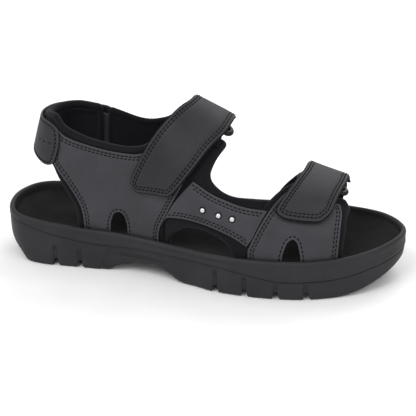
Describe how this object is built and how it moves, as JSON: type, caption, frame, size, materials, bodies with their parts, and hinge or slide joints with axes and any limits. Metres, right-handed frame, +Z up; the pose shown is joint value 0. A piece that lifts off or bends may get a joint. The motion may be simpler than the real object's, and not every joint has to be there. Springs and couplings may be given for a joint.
{
  "type": "strappy sport sandal",
  "caption": "Right-foot sport sandal with a moulded sole, leather upper panels, padded heel collar and hook-and-loop straps over instep, forefoot and heel.",
  "frame": {"origin": "middle of the footprint at ground level", "axes": "+X from heel to toe, +Y towards the medial side, +Z up"},
  "size_m": [0.2862, 0.1048, 0.1236],
  "materials": {
    "sole_pu": "matt moulded polyurethane, dark grey",
    "insole_board": "pressed fibre board",
    "footbed_foam": "soft foam",
    "footbed_cover": "brushed microfibre, nearly black",
    "upper_leather": "smooth grain leather, charcoal",
    "strap_leather": "smooth grain leather, charcoal",
    "lining_textile": "padded knitted textile, bluish black",
    "hook_and_loop": "hook-and-loop tape, black",
    "webbing": "woven webbing, black",
    "loop_plastic": "glossy black moulded plastic",
    "stud_steel": "polished steel"
  },
  "bodies": {
    "sandal": {"outsole": "sole_pu", "midsole": "sole_pu", "insole_board": "insole_board", "footbed": "footbed_foam", "footbed_cover": "footbed_cover", "lateral_quarter": "upper_leather", "lateral_bridge": "upper_leather", "lateral_vamp": "upper_leather", "medial_quarter": "upper_leather", "medial_vamp": "upper_leather", "quarter_lining": "lining_textile", "bridge_lining": "lining_textile", "vamp_lining": "lining_textile", "medial_quarter_lining": "lining_textile", "medial_vamp_lining": "lining_textile", "heel_pad": "lining_textile", "stud_1": "stud_steel", "stud_2": "stud_steel", "stud_3": "stud_steel", "heel_strap": "strap_leather", "heel_loop_patch": "hook_and_loop", "instep_root": "strap_leather", "instep_anchor_strap": "strap_leather", "instep_keeper": "webbing", "instep_loop": "loop_plastic", "instep_loop_patch": "hook_and_loop", "forefoot_root": "strap_leather", "forefoot_anchor_strap": "strap_leather", "forefoot_keeper": "webbing", "forefoot_loop": "loop_plastic", "forefoot_loop_patch": "hook_and_loop"},
    "instep_closure": {"instep_flap": "strap_leather", "instep_hook_patch": "hook_and_loop"},
    "forefoot_closure": {"forefoot_flap": "strap_leather", "forefoot_hook_patch": "hook_and_loop"},
    "heel_closure": {"heel_flap": "strap_leather", "heel_hook_patch": "hook_and_loop"}
  },
  "joints": [
    {"name": "instep_strap_peel", "type": "hinge", "parent": "sandal", "child": "instep_closure", "pos_m": [0.00454, 0.02043, 0.11251], "axis": [-0.911, 0.0004, 0.4125], "range_deg": [0, 110]},
    {"name": "forefoot_strap_peel", "type": "hinge", "parent": "sandal", "child": "forefoot_closure", "pos_m": [0.08591, 0.01995, 0.07251], "axis": [-0.9579, 0.0129, 0.2868], "range_deg": [0, 110]},
    {"name": "heel_tab_peel", "type": "hinge", "parent": "sandal", "child": "heel_closure", "pos_m": [-0.11908, -0.01158, 0.09335], "axis": [-0.2116, -0.0842, -0.9737], "range_deg": [0, 110]}
  ]
}
